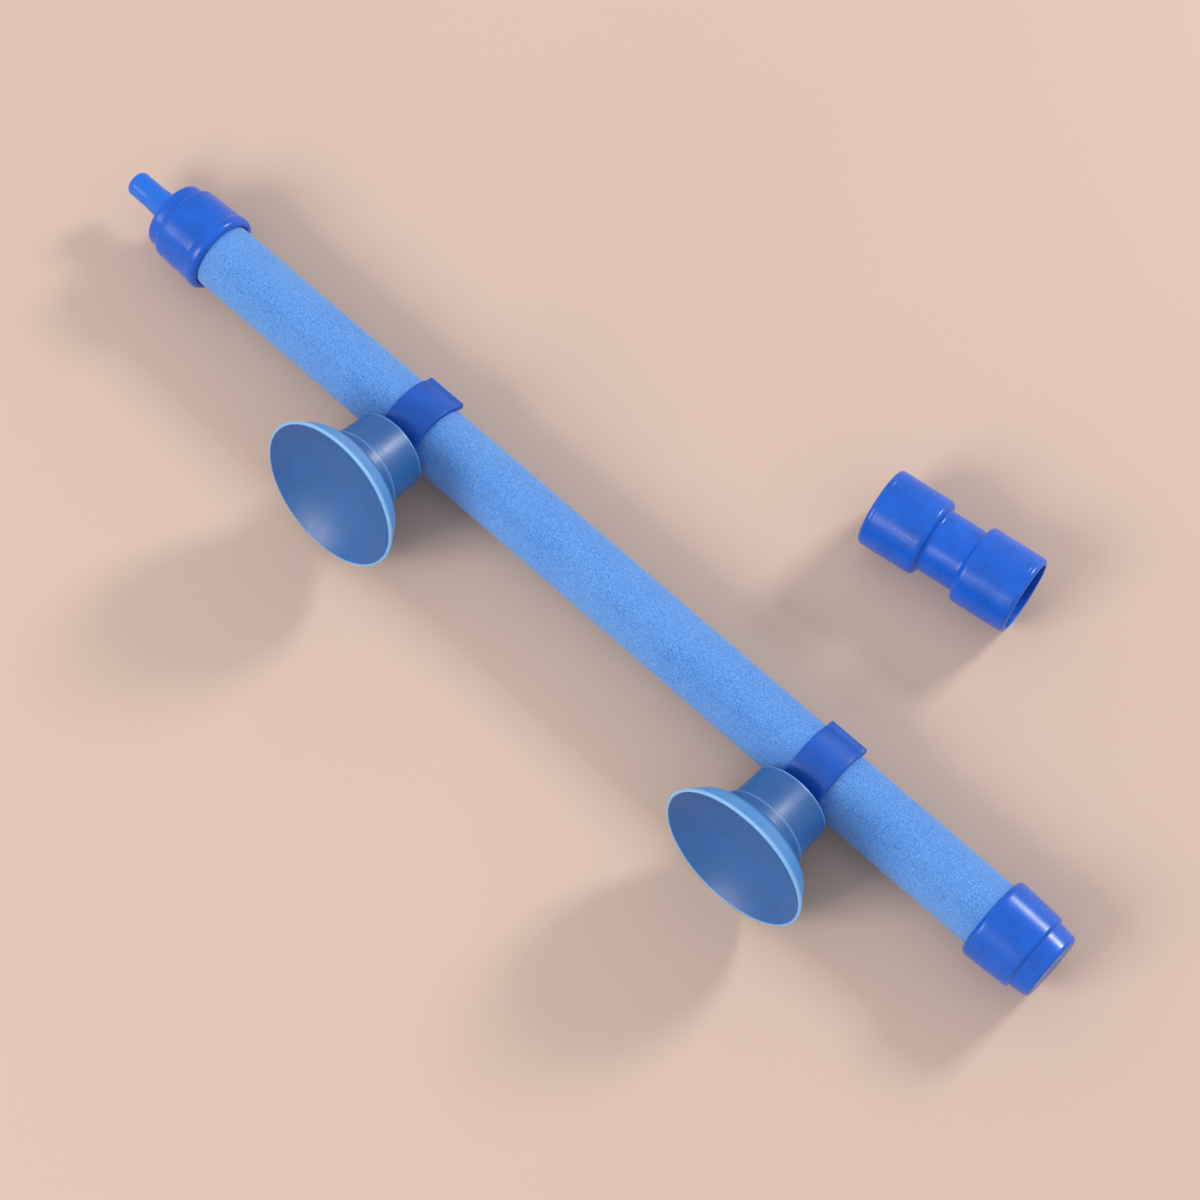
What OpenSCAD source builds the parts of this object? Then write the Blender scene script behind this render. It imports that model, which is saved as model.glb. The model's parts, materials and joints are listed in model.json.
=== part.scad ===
/*
Air stone bar for an aquarium or pond: a porous stone tube, a push-on inlet cap with a
hose nipple, a push-on closed tail cap, two open clips with ball studs, a suction cup
on each stud, and a loose straight connector that joins two bars end to end.

The bar lies along X on the table (Z = 0), nipple towards -X and cups towards -Y. The
origin is at the middle of the base of everything that lies on the table.
*/

/* [Stone] */
// Outside diameter of the stone
stone_d = 13; // [11:0.5:20]
// Length of the stone, hidden ends included
stone_len = 200; // [150:5:320]
// Diameter of the air bore through the stone
stone_bore_d = 5; // [3:0.5:7]
// Edge break on the stone's two ends
stone_edge = 0.4; // [0.2:0.1:0.8]

/* [Caps] */
// Wall of a cap's socket at its mouth
cap_wall = 1.45; // [1:0.05:2.5]
// How much thinner the wall is where the cap's body meets the step
cap_draft = 0.4; // [0:0.05:0.4]
// How far the stone goes into the inlet cap
cap_seat = 7.2; // [5:0.1:8]
// Length of the inlet cap's large cylinder, from the mouth to the step
cap_body_len = 10.4; // [9:0.1:14]
// How much shorter the tail cap's large cylinder and its seat are
tail_short = 0.6; // [0:0.1:1.5]
// Thickness of the end wall of both caps
cap_end_wall = 1.6; // [1.2:0.1:2.4]
// Length of the small end of the tail cap
tail_end_len = 3.9; // [3:0.1:8]
// Radial step from the tail cap's body down to its small end
tail_step = 0.7; // [0.4:0.1:1.2]
// How much thinner the small end gets towards its end, in radius
tail_draft = 0.3; // [0:0.05:0.4]
// Length of the inlet cap's collar, behind the nipple
collar_len = 2.8; // [2.6:0.1:8]
// Radial step from the inlet cap's body down to its collar
collar_step = 0.9; // [0.5:0.1:1.2]
// Radius of the rounded edge at the far end of a cap's narrow part
cap_round = 0.8; // [0.4:0.1:1]
// Width of the rounded bead around the inlet cap's mouth
bead_w = 2.4; // [1.6:0.1:3]
// Depth of the groove behind that bead
bead_groove = 0.25; // [0.1:0.05:0.4]

/* [Nipple] */
// Outside diameter of the straight part that the air hose pushes onto
nipple_d = 4.9; // [4:0.1:7]
// How much the nipple's root is thicker than its straight part, in radius
nipple_flare = 0.4; // [0:0.05:0.8]
// Diameter of the air passage through the nipple
nipple_bore_d = 2.6; // [1.5:0.1:3.2]
// Length of the nipple
nipple_len = 10; // [7:0.1:14]
// Length of its straight part, rounded tip left out
nipple_straight = 4; // [3:0.5:5.5]
// Radius of the rounded tip
nipple_tip_r = 1; // [0.3:0.1:1]

/* [Clips] */
// Width of a clip along the stone
clip_w = 8; // [6:0.5:14]
// Thickness of the clip's band
clip_t = 1.1; // [0.9:0.1:1.3]
// Half of the angle that the clip leaves open
clip_open = 46; // [40:1:60]
// Radius of the rounded lip at each end of the band
clip_lip_r = 0.75; // [0.6:0.05:0.9]
// How far the lips stand out from the middle of the band
clip_lip_out = 0.35; // [0.2:0.05:0.5]
// Diameter of the ball on the stud
ball_d = 5.4; // [4.6:0.2:6.6]
// Diameter of the stud's stem
stem_d = 3.4; // [2.8:0.2:4]
// Place of the inlet-side clip, from the middle of the stone
clip_inlet_at = -41.7; // [-60:0.1:-25]
// Place of the tail-side clip, from the middle of the stone
clip_tail_at = 55.2; // [25:0.1:60]
// How far the inlet-side clip is turned up from where its cup would touch the table
clip_inlet_turn = 6.2; // [0:0.5:30]

/* [Suction cups] */
// Diameter of the cup's rim
cup_d = 30; // [26:1:40]
// Length of the cup, from the end of its neck to the plane of its rim
cup_len = 15.9; // [15.5:0.1:20]
// Depth of the cup's hollow
cup_depth = 5.6; // [5:0.1:6]
// Diameter of the neck at its end
neck_d = 15.4; // [12:0.2:18]
// How much thicker the neck gets towards the ring, in radius
neck_flare = 0.4; // [0:0.1:0.6]
// Distance from the end of the neck to the ring at the back of the bell
neck_len = 7.7; // [7.5:0.1:8.4]
// How far that ring stands out from the end of the neck, in radius
ring_out = 0.9; // [0.7:0.1:1.2]
// Thickness of the cup's lip
lip_t = 0.6; // [0.4:0.1:1]

/* [Connector] */
// Full length of the connector
conn_len = 31; // [28:0.2:44]
// Wall of the connector's sockets
conn_wall = 1; // [0.8:0.1:1.6]
// Depth of each socket
conn_seat = 10.5; // [8:0.1:12]
// Length of the narrow waist
conn_waist_len = 7.8; // [5:0.2:12]
// Radial step from the sockets down to the waist
conn_step = 1.5; // [1.1:0.1:1.6]
// Radius of the rounded edges of its sockets
conn_round = 0.9; // [0.5:0.1:0.9]
// Place of its middle along the bar, from the middle of the stone
conn_along = 45.5; // [-60:0.1:60]
// Distance of its middle from the bar's axis
conn_aside = 45.9; // [32:0.1:70]
// Turn of its axis from the bar's axis
conn_turn = 7.6; // [-30:0.1:30]

/* [Clearances] */
// Radial clearance between the stone and the sockets of the caps
push_clear = 0.04; // [0.02:0.01:0.1]
// Radial clearance between the stone and the clips
clip_clear = 0.05; // [0.02:0.01:0.1]
// Radial clearance between the stone and the connector's sockets
conn_clear = 0.1; // [0.05:0.01:0.2]
// Radial clearance between a ball and its seat in the cup
ball_clear = 0.08; // [0.02:0.01:0.1]
// Radial clearance between a stem and the hole in the neck
stem_clear = 0.25; // [0.15:0.05:0.4]
// Gap between a clip's band and the end of the cup's neck
neck_gap = 0.75; // [0.4:0.05:1.5]

/* [Hidden] */
$fn = 96;

// Colours
PLASTIC = [0.07, 0.30, 0.78];
STONE = [0.38, 0.61, 0.93];
CUP = [0.25, 0.46, 0.74];

// Radii worked out from the diameters, walls and clearances
stone_r = stone_d / 2;
stone_bore_r = stone_bore_d / 2;
socket_r = stone_r + push_clear;
cap_r = stone_r + cap_wall;
cap_step_r = cap_r - cap_draft;
tail_end_r = cap_step_r - tail_step;
collar_r = cap_step_r - collar_step;
cap_mouth_flare = 0.25;
cap_mouth_depth = 1;
cap_lip_r = cap_r - socket_r - cap_mouth_flare - 0.1;
chamber_r = stone_r - 1.7;
nipple_r = nipple_d / 2;
nipple_root_r = nipple_r + nipple_flare;
nipple_bore_r = nipple_bore_d / 2;
clip_in_r = stone_r + clip_clear;
clip_out_r = clip_in_r + clip_t;
clip_lip_at = clip_in_r + clip_t / 2 + clip_lip_out;
ball_r = ball_d / 2;
stem_r = stem_d / 2;
cup_r = cup_d / 2;
neck_r = neck_d / 2;
conn_in_r = stone_r + conn_clear;
conn_r = conn_in_r + conn_wall;
conn_waist_r = conn_r - conn_step;
conn_hole_r = stone_bore_r;
conn_mouth_chamfer = 0.1;

// Places along the bar, from the middle of the stone
cap_bottom_gap = 0.1;
inlet_mouth = stone_len / 2 - cap_seat;
tail_seat = cap_seat - tail_short;
tail_mouth = stone_len / 2 - tail_seat;
inlet_body_end = cap_body_len + collar_len;
tail_body_len = cap_body_len - tail_short;
tail_len = tail_body_len + tail_end_len;
bar_min = -inlet_mouth - inlet_body_end - nipple_len;
bar_max = tail_mouth + tail_len;

// Places along the cup's axis: s = 0 at the end of the neck, s = cup_len at the rim
neck_at = clip_out_r + neck_gap;
ball_wall = 1.2;
ball_at = ball_wall + ball_r + ball_clear;
rim_at = neck_at + cup_len;
ring_r = neck_r + ring_out;
shoulder_s = min(neck_len + 2.5, cup_len - cup_depth + 0.3);
dish_side = cup_r - lip_t / 2 - 0.15;
dish_r = (dish_side * dish_side + cup_depth * cup_depth) / (2 * cup_depth);

// The angle at which a cup's rim touches the table, for a bar whose axis is z above it
lip_r = lip_t / 2;
lip_side = cup_r - lip_r;
lip_reach = rim_at - lip_r;
function rest_angle(z) =
    acos((z - lip_r) / norm([lip_side, lip_reach])) - atan2(lip_reach, lip_side);

// The bar lies on its caps, or on the clips where their bands or lips reach lower
band_z = max(cap_r, clip_out_r);
lip_low = min(90, clip_open + rest_angle(band_z) + clip_inlet_turn);
bar_z = max(band_z, clip_lip_at * sin(lip_low) + clip_lip_r);
conn_z = conn_r;
clip_tail_angle = rest_angle(bar_z);
clip_inlet_angle = clip_tail_angle + clip_inlet_turn;

// Sides of the whole object, which put the origin at the middle of its base
cup_side = max([for (a = [clip_tail_angle, clip_inlet_angle])
    lip_reach * cos(a) + lip_side * sin(a) + lip_r]);
conn_side = conn_aside + conn_len / 2 * abs(sin(conn_turn)) + conn_r * cos(conn_turn);
origin_x = (bar_min + bar_max) / 2;
origin_y = (conn_side - cup_side) / 2;

// Points of an arc about centre c, from angle a0 to angle a1
function arc(c, r, a0, a1, n = 8) = [
    for (i = [0 : n])
        let (a = a0 + (a1 - a0) * i / n)
        c + r * [cos(a), sin(a)]
];

// Points of a smooth bend from p0 to p2 that leans towards p1
function bend(p0, p1, p2, n = 12) = [
    for (i = [0 : n])
        let (t = i / n)
        (1 - t) * (1 - t) * p0 + 2 * t * (1 - t) * p1 + t * t * p2
];

// A solid of revolution about X: the profile's points are [radius, place along X]
module turned(profile) {
    rotate([0, 90, 0])
        rotate_extrude()
            polygon(profile);
}

// Puts a child, drawn about the middle of the stone's axis, where the bar lies
module on_bar() {
    translate([-origin_x, -origin_y, bar_z])
        children();
}

// The porous tube
module stone() {
    half = stone_len / 2;
    color(STONE)
        on_bar()
            turned([
                [stone_bore_r, -half],
                [stone_r - stone_edge, -half],
                [stone_r, -half + stone_edge],
                [stone_r, half - stone_edge],
                [stone_r - stone_edge, half],
                [stone_bore_r, half]
            ]);
}

// A step from a low radius up to a high one, going towards the mouth: a hollow fillet,
// then a rounded edge, both drawn out along the axis
function step_side(low_r, high_r, at) =
    let (
        fillet = 0.4 * (high_r - low_r),
        edge = 0.6 * (high_r - low_r),
        long = 1.5
    )
    [
        for (p = concat(
            arc([low_r + fillet, fillet], fillet, 180, 270, 5),
            arc([high_r - edge, -edge], edge, 90, 0, 6)
        ))
            [p[0], at + long * p[1]]
    ];

// The side that both caps share: round the mouth's lip, down the socket to the stone's
// seat, and on through a chamber to its floor, where the cap's end wall starts
function socket_side(seat, floor_at) = concat(
    arc([cap_r - cap_lip_r, cap_lip_r], cap_lip_r, 0, -90),
    [
        [socket_r + cap_mouth_flare, 0],
        [socket_r, cap_mouth_depth],
        [socket_r, seat + cap_bottom_gap],
        [chamber_r, seat + cap_bottom_gap],
        [chamber_r, floor_at]
    ]
);

// Inlet cap: socket with a beaded mouth, collar, and a hose nipple with an air passage
module inlet_cap() {
    tip = inlet_body_end + nipple_len;
    floor_at = inlet_body_end - cap_end_wall;
    groove_r = cap_r - bead_groove;
    color(PLASTIC)
        on_bar()
            translate([-inlet_mouth, 0, 0])
                mirror([1, 0, 0])
                    turned(concat(
                        [[nipple_bore_r, tip]],
                        arc([nipple_r - nipple_tip_r, tip - nipple_tip_r], nipple_tip_r, 90, 0),
                        [[nipple_r, tip - nipple_tip_r - nipple_straight]],
                        arc([nipple_root_r + 0.4, inlet_body_end + 0.4], 0.4, 180, 270, 4),
                        arc([collar_r - cap_round, inlet_body_end - cap_round], cap_round, 90, 0),
                        step_side(collar_r, cap_step_r, cap_body_len),
                        [[groove_r, bead_w + 1]],
                        bend([groove_r, bead_w + 0.3], [groove_r, bead_w], [cap_r, bead_w - 0.7], 5),
                        socket_side(cap_seat, floor_at),
                        [[nipple_bore_r, floor_at]]
                    ));
}

// Tail cap: the same socket, stepped down to a closed end
module tail_cap() {
    floor_at = tail_len - cap_end_wall;
    end_r = tail_end_r - tail_draft - cap_round;
    color(PLASTIC)
        on_bar()
            translate([tail_mouth, 0, 0])
                turned(concat(
                    [[0, tail_len]],
                    arc([end_r, tail_len - cap_round], cap_round, 90, 0),
                    step_side(tail_end_r, cap_step_r, tail_body_len),
                    socket_side(tail_seat, floor_at),
                    [[0, floor_at]]
                ));
}

// The clip's outline, seen along the bar: a band open towards +Y, with a rounded lip at
// each end
module clip_outline() {
    reach = 2 * clip_out_r;
    difference() {
        union() {
            difference() {
                circle(clip_out_r);
                polygon([
                    [0, 0],
                    reach * [cos(clip_open), sin(clip_open)],
                    reach * [cos(clip_open), -sin(clip_open)]
                ]);
            }
            for (side = [1, -1])
                translate(clip_lip_at * [cos(clip_open), side * sin(clip_open)])
                    circle(clip_lip_r);
        }
        circle(clip_in_r);
    }
}

// A stem and ball that point to -Y from the band, with a foot that spreads onto it
module stud() {
    foot = 0.7;
    stem_start = clip_in_r + clip_t / 2;
    rotate([90, 0, 0]) {
        translate([0, 0, stem_start])
            cylinder(r = stem_r, h = neck_at + ball_at - stem_start);
        translate([0, 0, stem_start])
            cylinder(r1 = stem_r + foot + clip_t / 2, r2 = stem_r, h = foot + clip_t / 2);
        translate([0, 0, neck_at + ball_at])
            sphere(ball_r);
    }
}

// An open clip at a place along the bar, its stud turned up by an angle
module clip(at, angle) {
    color(PLASTIC)
        on_bar()
            translate([at, 0, 0])
                rotate([-angle, 0, 0]) {
                    rotate([90, 0, 90])
                        translate([0, 0, -clip_w / 2])
                            linear_extrude(clip_w)
                                clip_outline();
                    stud();
                }
}

module clip_inlet() {
    clip(clip_inlet_at, clip_inlet_angle);
}

module clip_tail() {
    clip(clip_tail_at, clip_tail_angle);
}

// The cup's outer side, from the end of the neck to the lip: the neck, the ring's crisp
// edge and its side, the flat back of the bell, and the bell's curve out to the lip
function cup_outside() =
    let (
        neck_edge = 0.3,
        ring_edge = 0.15,
        ring_foot = [ring_r + 0.1, shoulder_s],
        belly = [cup_r - 1.8, cup_len - 3.4],
        lip = [cup_r, cup_len - lip_r - 0.1]
    )
    concat(
        arc([neck_r - neck_edge, neck_edge], neck_edge, -90, 0, 4),
        bend([neck_r, 1], [neck_r, neck_len * 0.55], [neck_r + neck_flare, neck_len - 0.25], 8),
        arc([ring_r - ring_edge, neck_len + ring_edge], ring_edge, -90, 0, 3),
        bend(ring_foot - [0, 0.9], ring_foot, ring_foot + [1.1, 0.1], 6),
        bend([cup_r - 5, shoulder_s + 0.2], belly - [0.6, 1.8], belly, 8),
        bend(belly + [0.1, 0.25], belly + [0.8, 1.7], lip, 8),
        arc([lip_side, cup_len - lip_r], lip_r, 0, 90, 5)
    );

// The cup's hollow, part of a sphere, from the lip to the middle
function cup_inside() =
    let (edge = asin(dish_side / dish_r))
    [
        for (i = [0 : 16])
            let (a = edge * (1 - i / 16))
            [dish_r * sin(a), cup_len - cup_depth + dish_r * (1 - cos(a))]
    ];

// The ball's seat and the hole that the stem comes out of, from the seat's floor to the
// end of the neck
function ball_seat() =
    let (
        seat_r = ball_r + ball_clear,
        hole_r = stem_r + stem_clear,
        mouth = asin(hole_r / seat_r)
    )
    concat(
        arc([0, ball_at], seat_r, 90, -90 + mouth, 16),
        [[hole_r, 0.4]],
        [[hole_r + 0.4, 0]]
    );

// A suction cup on the stud of the clip at that place and angle
module cup(at, angle) {
    color(CUP)
        on_bar()
            translate([at, 0, 0])
                rotate([-angle, 0, 0])
                    rotate([0, 0, -90])
                        translate([neck_at, 0, 0])
                            turned(concat(ball_seat(), cup_outside(), cup_inside()));
}

module cup_inlet() {
    cup(clip_inlet_at, clip_inlet_angle);
}

module cup_tail() {
    cup(clip_tail_at, clip_tail_angle);
}

// One half of the connector's outer side, from its middle to the mouth
function conn_outside() =
    let (
        fillet = conn_step - conn_round,
        shoulder = conn_waist_len / 2,
        mouth_round = min(conn_round, conn_wall - conn_mouth_chamfer - 0.1)
    )
    concat(
        arc([conn_waist_r + fillet, shoulder - fillet], fillet, 180, 90, 4),
        arc([conn_r - conn_round, shoulder + conn_round], conn_round, -90, 0, 6),
        arc([conn_r - mouth_round, conn_len / 2 - mouth_round], mouth_round, 0, 90, 6)
    );

// One half of its inner side, from the mouth to its middle
function conn_inside() = [
    [conn_in_r + conn_mouth_chamfer, conn_len / 2],
    [conn_in_r, conn_len / 2 - 2 * conn_mouth_chamfer],
    [conn_in_r, conn_len / 2 - conn_seat],
    [conn_hole_r + 0.4, conn_len / 2 - conn_seat],
    [conn_hole_r, conn_len / 2 - conn_seat - 0.4]
];

// The other half of a side: the same points on the other side of the middle, turned round
function other_half(points) = [
    for (i = [len(points) - 1 : -1 : 0])
        [points[i][0], -points[i][1]]
];

// Straight connector with a socket at each end
module connector() {
    color(PLASTIC)
        translate([conn_along - origin_x, conn_aside - origin_y, conn_z])
            rotate([0, 0, conn_turn])
                turned(concat(
                    other_half(conn_outside()),
                    conn_outside(),
                    conn_inside(),
                    other_half(conn_inside())
                ));
}

stone();
inlet_cap();
tail_cap();
clip_inlet();
clip_tail();
cup_inlet();
cup_tail();
connector();
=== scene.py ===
"""Looks of an air stone bar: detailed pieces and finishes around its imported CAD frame."""

import json
import math

import bpy
import numpy as np
from bpy.props import FloatProperty, FloatVectorProperty, IntProperty, PointerProperty
from mathutils import Matrix, Vector, noise


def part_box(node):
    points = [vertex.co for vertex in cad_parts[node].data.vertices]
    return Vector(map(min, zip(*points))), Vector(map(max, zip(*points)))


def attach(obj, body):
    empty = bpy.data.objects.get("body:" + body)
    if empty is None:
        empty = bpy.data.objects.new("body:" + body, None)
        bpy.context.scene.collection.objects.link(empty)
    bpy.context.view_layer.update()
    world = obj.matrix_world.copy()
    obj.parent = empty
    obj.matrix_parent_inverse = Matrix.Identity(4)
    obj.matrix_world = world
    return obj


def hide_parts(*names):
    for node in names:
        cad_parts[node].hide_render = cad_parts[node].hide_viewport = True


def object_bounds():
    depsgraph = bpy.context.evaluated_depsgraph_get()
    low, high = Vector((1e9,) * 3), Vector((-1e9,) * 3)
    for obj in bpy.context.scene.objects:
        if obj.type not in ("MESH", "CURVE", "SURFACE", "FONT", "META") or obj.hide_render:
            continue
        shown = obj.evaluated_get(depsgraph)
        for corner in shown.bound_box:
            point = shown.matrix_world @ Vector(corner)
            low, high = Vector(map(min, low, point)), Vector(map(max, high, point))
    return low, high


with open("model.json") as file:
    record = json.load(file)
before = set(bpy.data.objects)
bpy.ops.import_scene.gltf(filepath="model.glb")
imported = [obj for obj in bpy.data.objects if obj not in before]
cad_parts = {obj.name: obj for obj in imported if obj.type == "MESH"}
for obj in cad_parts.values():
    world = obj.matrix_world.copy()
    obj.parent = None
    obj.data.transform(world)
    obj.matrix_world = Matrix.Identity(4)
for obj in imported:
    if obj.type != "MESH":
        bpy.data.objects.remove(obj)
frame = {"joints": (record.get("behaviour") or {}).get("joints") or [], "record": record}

bl_info = {
    "name": "Air stone bar",
    "version": (1, 0, 0),
    "blender": (4, 5, 0),
    "location": "3D View > Sidebar > Air stone",
    "description": "Detailed pieces and finishes of an air stone bar, around its CAD frame",
    "category": "Object",
}

MM = 0.001
FRAME_BOX = [list(corner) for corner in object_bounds()]
JOINTS = {joint["name"]: joint for joint in frame["joints"]}
MOUNTS = {mount["name"]: mount for mount in frame["record"]["mounts"]}


# Places and sizes that the frame gives, in metres


def sides(node):
    low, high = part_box(node)
    return high - low


def middle(node):
    low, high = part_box(node)
    return (low + high) / 2


BAR = middle("stone")
STONE_LEN = sides("stone").x
STONE_R = sides("stone").z / 2
CAP_R = sides("tail_cap").z / 2
CUP_R = sides("cup_tail").x / 2
CLIP_W = sides("clip_tail").x
CONN_R = sides("connector").z / 2
CONN_AXIS = Vector(MOUNTS["connector_socket_b"]["axis"])
CONN_LEN = (sides("connector").x - 2 * CONN_R * abs(CONN_AXIS.y)) / CONN_AXIS.x
INLET_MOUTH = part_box("inlet_cap")[1].x
TAIL_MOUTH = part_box("tail_cap")[0].x
INLET_SEAT = INLET_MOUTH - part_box("stone")[0].x
TAIL_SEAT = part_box("stone")[1].x - TAIL_MOUTH
SIDES_OF_BAR = ("inlet", "tail")

# Sizes in millimetres that the pieces share
CAP_GAP = 0.04  # between a cap's socket and the stone
BALL_GAP = 0.08  # between a stud's ball and its seat
BALL_PLACE = 3.98  # from the end of a cup's neck to the middle of its ball
RING_AWAY = 9.37  # from the ball to the crisp edge of the cup's ring
END_WALL = 1.6  # the wall at the closed end of each cap
AIM = (7.51, -14.68)  # where the camera looks, from the middle of the frame's box
SHARP_ANGLE = math.radians(40)


def length(name, default, description, low=0.0, high=1.0):
    return FloatProperty(
        name=name,
        description=description,
        default=default,
        min=low,
        max=high,
        precision=5,
        subtype="DISTANCE",
        unit="LENGTH",
    )


def share(name, default, description):
    return FloatProperty(
        name=name, description=description, default=default, min=0, max=1, subtype="FACTOR"
    )


def colour(name, default, description):
    return FloatVectorProperty(
        name=name, description=description, default=default, min=0, max=1, size=3, subtype="COLOR"
    )


def turn(name, degrees, description):
    return FloatProperty(
        name=name,
        description=description,
        default=math.radians(degrees),
        subtype="ANGLE",
        unit="ROTATION",
    )


class StoneSettings(bpy.types.PropertyGroup):
    radius: length("Radius", STONE_R, "Outside radius of the porous tube")
    bore: length("Bore radius", 2.5 * MM, "Radius of the air bore")
    edge: length("Edge break", 0.4 * MM, "Broken edge at both ends")
    grain: length("Grain size", 0.21 * MM, "Size of the sintered grains")
    relief: length("Grain relief", 0.07 * MM, "How far the gaps between grains go in")
    body: colour("Stone blue", (0.1, 0.345, 0.88), "Main colour of the grains")
    # Pore blue is painted shade in the pores between the grains. It also colours the stone's dark
    # streaks.
    pore_shade_and_streak: colour("Pore blue", (0.035, 0.15, 0.52), "Colour in the pores")
    pale: colour("Pale grain", (0.25, 0.5, 0.93), "Colour of the palest grains")


class PlasticSettings(bpy.types.PropertyGroup):
    body: colour("Royal blue", (0.006, 0.115, 0.62), "Colour of the moulded plastic")
    # Painted glow: the paler blue painted on the nipple, in place of light shining through its
    # slender wall.
    glowing: colour("Thin wall blue", (0.012, 0.165, 0.72), "Its colour where the wall is thin")
    roughness: share("Roughness", 0.27, "Roughness of the caps and the connector")
    dull: share("Clip roughness", 0.5, "Roughness of the clips, which are duller")
    coat: share("Gloss coat", 0.1, "Weight of the clear gloss")


class CapSettings(bpy.types.PropertyGroup):
    radius: length("Mouth radius", CAP_R, "Outside radius of a cap at its mouth")
    draft: length("Draft", 0.4 * MM, "How much thinner the body gets towards the step")
    body: length("Body length", 10.4 * MM, "Length of the inlet cap's large cylinder")
    tail_body: length("Tail body", 9.8 * MM, "Length of the tail cap's large cylinder")
    collar: length("Collar length", 2.8 * MM, "Length of the inlet cap's collar")
    collar_step: length("Collar step", 0.9 * MM, "Radial step down to the collar")
    tail_step: length("Tail step", 0.7 * MM, "Radial step down to the tail cap's small end")
    tail_draft: length("Tail draft", 0.3 * MM, "How much the small end tapers")
    rounding: length("Edge rounding", 0.8 * MM, "Radius of the caps' rounded edges")
    bead: length("Bead width", 2.4 * MM, "Width of the bead at the inlet cap's mouth")
    groove: length("Groove depth", 0.25 * MM, "Depth of the groove behind the bead")
    nipple: length("Nipple radius", 2.45 * MM, "Radius of the nipple's straight part")
    nipple_bore: length("Nipple bore", 1.3 * MM, "Radius of the air passage")
    straight: length("Nipple straight", 4 * MM, "Length of the nipple's straight part")
    seam: length("Parting line", 0.035 * MM, "Height of the mould's parting line")


class ClipSettings(bpy.types.PropertyGroup):
    width: length("Width", CLIP_W, "Width of the band along the bar")
    thickness: length("Thickness", 1.1 * MM, "Thickness of the band")
    gap: length("Clearance", 0.05 * MM, "Radial clearance to the tube")
    opening: turn("Half opening", 46, "Half of the angle that the band leaves open")
    lip: length("Lip radius", 0.75 * MM, "Radius of the rounded lips")
    lip_out: length("Lip offset", 0.35 * MM, "How far the lips stand out from the band")
    edge: length("Edge rounding", 0.22 * MM, "Rounding of the band's edges")
    crease: length("Crease", 0.03 * MM, "Depth of the crease behind each lip")
    ball: length("Ball radius", 2.7 * MM, "Radius of the stud's ball")
    stem: length("Stem radius", 1.7 * MM, "Radius of the stud's stem")


class CupSettings(bpy.types.PropertyGroup):
    radius: length("Rim radius", CUP_R, "Radius of the cup's rim")
    span: length("Length", 15.9 * MM, "From the end of the neck to the rim")
    depth: length("Hollow", 5.6 * MM, "Depth of the hollow")
    neck: length("Neck radius", 7.7 * MM, "Radius of the neck at its end")
    flare: length("Neck flare", 0.4 * MM, "How much thicker the neck gets towards the ring")
    neck_len: length("Neck length", 7.7 * MM, "From the neck's end to the ring")
    ring: length("Ring", 0.9 * MM, "How far the ring stands out")
    lip: length("Lip", 0.6 * MM, "Thickness of the lip")
    sag: length("Lip sag", 0.3 * MM, "How far the soft lip bends back at its worst")
    vinyl: colour("Vinyl blue", (0.014, 0.12, 0.385), "Colour of the soft vinyl")
    # Painted glow: the paler colour painted on the bell's back near the lip, as if lit through the
    # vinyl.
    glow: colour("Thin vinyl", (0.1, 0.34, 0.72), "Its colour near the thin lip")
    # Painted highlight: the pale colour of the lines along the lip, the neck's edge and the ring's
    # edge.
    rim: colour("Rim", (0.28, 0.56, 0.93), "Its colour on the lip and the neck's edge")
    roughness: share("Roughness", 0.46, "Roughness of the vinyl")
    soft: share("Translucency", 0.5, "How much light goes through the vinyl")


class ConnectorSettings(bpy.types.PropertyGroup):
    radius: length("Radius", CONN_R, "Outside radius of the sockets")
    span: length("Length", CONN_LEN, "Full length")
    bore: length("Socket radius", 6.6 * MM, "Inside radius of the sockets")
    seat: length("Socket depth", 10.5 * MM, "Depth of each socket")
    waist: length("Waist length", 7.8 * MM, "Length of the narrow waist")
    step: length("Waist step", 1.5 * MM, "Radial step down to the waist")
    rounding: length("Edge rounding", 0.9 * MM, "Radius of the sockets' rounded edges")


class StageSettings(bpy.types.PropertyGroup):
    azimuth: turn("Azimuth", 50.27, "Camera's direction round the bar")
    elevation: turn("Elevation", 71.275, "Camera's height above the horizon")
    roll: turn("Roll", -7.992, "Camera's turn about its own axis")
    distance: length("Distance", 0.55925, "From the camera to the point it looks at", high=5)
    lens: FloatProperty(
        name="Lens",
        description="Focal length for a 36 mm sensor",
        default=92.995,
        unit="CAMERA",
    )
    floor: colour("Floor", (0.66, 0.49, 0.4), "Colour of the plain pale floor")
    key: FloatProperty(name="Key", description="Power of the key light", default=5.6, unit="POWER")
    fill: FloatProperty(
        name="Fill", description="Power of the fill light", default=5.2, unit="POWER"
    )
    sky: share("Sky", 0.6, "Strength of the even light all round")


class AirStoneSettings(bpy.types.PropertyGroup):
    stone: PointerProperty(type=StoneSettings, name="Stone", description="The porous tube")
    plastic: PointerProperty(
        type=PlasticSettings, name="Plastic", description="Finish of the moulded parts"
    )
    caps: PointerProperty(type=CapSettings, name="Caps", description="Both end caps")
    clips: PointerProperty(type=ClipSettings, name="Clips", description="Both clips")
    cups: PointerProperty(type=CupSettings, name="Cups", description="Both suction cups")
    connector: PointerProperty(
        type=ConnectorSettings, name="Connector", description="The loose connector"
    )
    stage: PointerProperty(
        type=StageSettings, name="Stage", description="Camera, floor and lights"
    )
    segments: IntProperty(
        name="Segments", description="Sides of a turned piece", default=160, min=48, max=320
    )


# Outlines in millimetres: each point is (radius, place along the axis)


def arc(centre, r, a0, a1, n=8):
    angles = [math.radians(a0 + (a1 - a0) * i / n) for i in range(n + 1)]
    return [(centre[0] + r * math.cos(a), centre[1] + r * math.sin(a)) for a in angles]


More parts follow.
